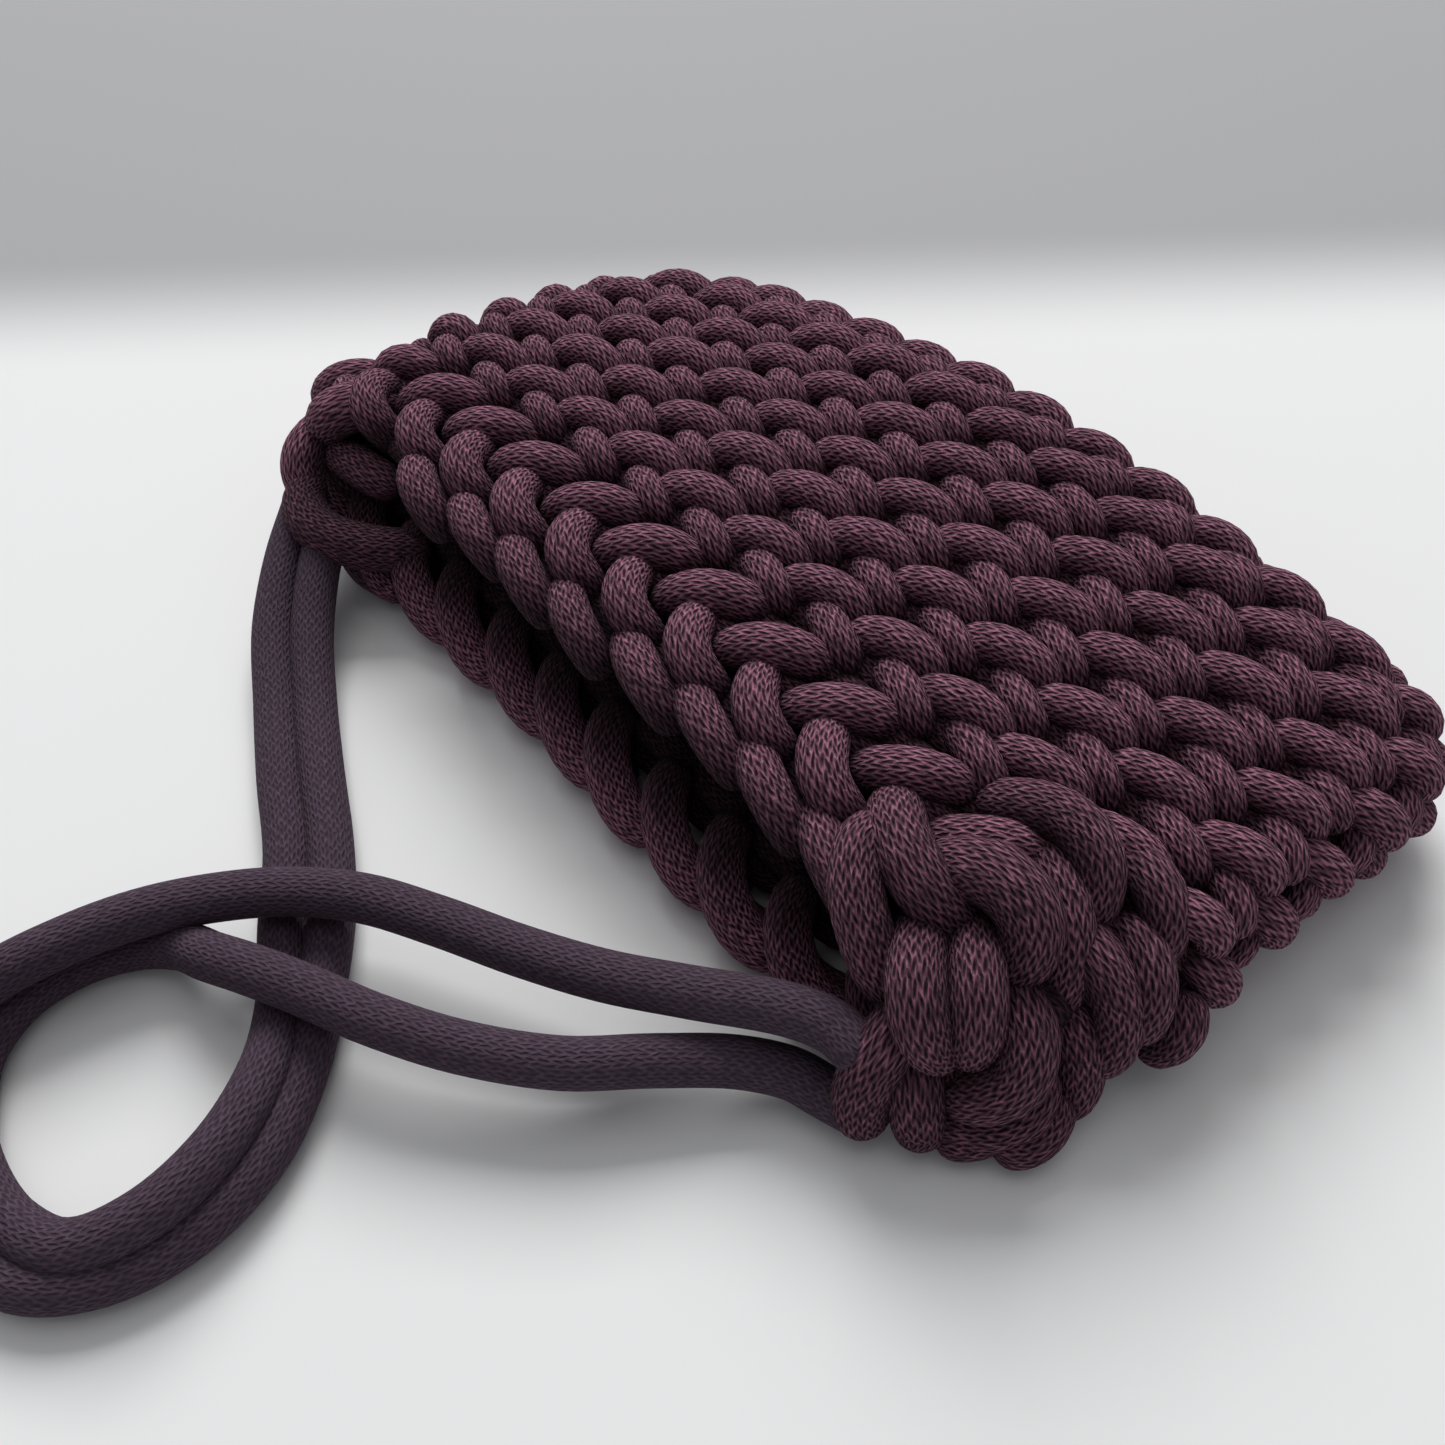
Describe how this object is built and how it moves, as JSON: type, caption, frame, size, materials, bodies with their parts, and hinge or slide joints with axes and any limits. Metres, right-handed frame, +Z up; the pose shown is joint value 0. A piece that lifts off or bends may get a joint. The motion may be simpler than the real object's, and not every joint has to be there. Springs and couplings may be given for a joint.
{
  "type": "shoulder bag",
  "caption": "Small soft shoulder bag crocheted in rounds from thick padded cord, open at the mouth, with a doubled cord strap from end to end.",
  "frame": {"origin": "under the middle of the bag, on the surface that its back lies on, with the strap left out", "axes": "+X along the mouth to the near end, +Y from the mouth to the base, +Z up out of the front"},
  "size_m": [0.25, 0.2887, 0.05],
  "materials": {
    "body_cord": "matte knitted cord",
    "strap_cord": "matte fine-knit cord"
  },
  "bodies": {
    "bag": {"back_rim": "body_cord", "back_round_1": "body_cord", "back_round_2": "body_cord", "back_round_3": "body_cord", "back_round_4": "body_cord", "back_round_5": "body_cord", "back_round_6": "body_cord", "back_round_7": "body_cord", "front_round_8": "body_cord", "front_round_9": "body_cord", "base_chain": "body_cord", "back_round_9": "body_cord", "back_round_8": "body_cord", "near_rim_turn": "body_cord", "near_turn_1": "body_cord", "near_turn_2": "body_cord", "near_turn_3": "body_cord", "near_turn_4": "body_cord", "near_turn_5": "body_cord", "near_turn_6": "body_cord", "near_turn_7": "body_cord", "near_base_corner": "body_cord", "near_strap_wrap": "body_cord", "far_rim_turn": "body_cord", "far_turn_1": "body_cord", "far_turn_2": "body_cord", "far_turn_3": "body_cord", "far_turn_4": "body_cord", "far_turn_5": "body_cord", "far_turn_6": "body_cord", "far_turn_7": "body_cord", "far_base_corner": "body_cord", "far_strap_wrap": "body_cord"},
    "front_panel": {"front_rim": "body_cord", "front_round_1": "body_cord", "front_round_2": "body_cord", "front_round_3": "body_cord", "front_round_4": "body_cord", "front_round_5": "body_cord", "front_round_6": "body_cord", "front_round_7": "body_cord"},
    "strap": {"strap_cord_upper": "strap_cord", "strap_cord_lower": "strap_cord"}
  },
  "joints": [
    {"name": "mouth_open", "type": "hinge", "parent": "bag", "child": "front_panel", "pos_m": [0, 0.05665, 0.05], "axis": [-1, 0, 0], "range_deg": [0, 14]},
    {"name": "strap_swing", "type": "hinge", "parent": "bag", "child": "strap", "pos_m": [0, -0.0725, 0.0155], "axis": [-1, 0, 0], "range_deg": [0, 90]}
  ]
}
